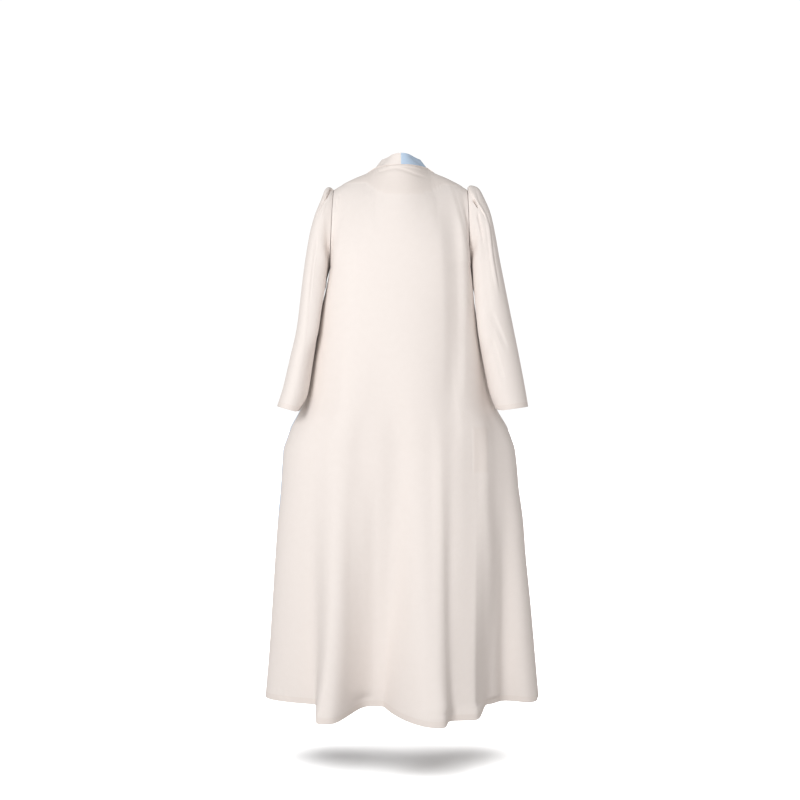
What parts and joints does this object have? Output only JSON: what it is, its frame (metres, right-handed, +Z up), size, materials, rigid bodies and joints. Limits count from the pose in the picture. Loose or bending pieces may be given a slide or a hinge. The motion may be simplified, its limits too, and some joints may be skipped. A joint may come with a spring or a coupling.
{
  "type": "abaya cloak",
  "caption": "Full-length abaya cloak in soft crepe, worn and open at the front, with pleated sleeve heads, a low standing neck band in two colours and a flared, fluted hem.",
  "frame": {"origin": "centre of the neck opening, level with the high points of the shoulders, where the garment is held up", "axes": "+Z up along the garment's length, -Y the way the open front faces, +X the wearer's left"},
  "size_m": [0.683, 0.4552, 1.3712],
  "materials": {
    "cream_crepe": "matte crepe with a faint sheen",
    "blue_crepe": "matte crepe with a faint sheen"
  },
  "bodies": {
    "root": {"back": "cream_crepe", "front_left": "blue_crepe", "front_right": "cream_crepe", "sleeve_left": "cream_crepe", "sleeve_right": "cream_crepe", "band_left": "cream_crepe", "band_right": "blue_crepe"}
  },
  "joints": []
}
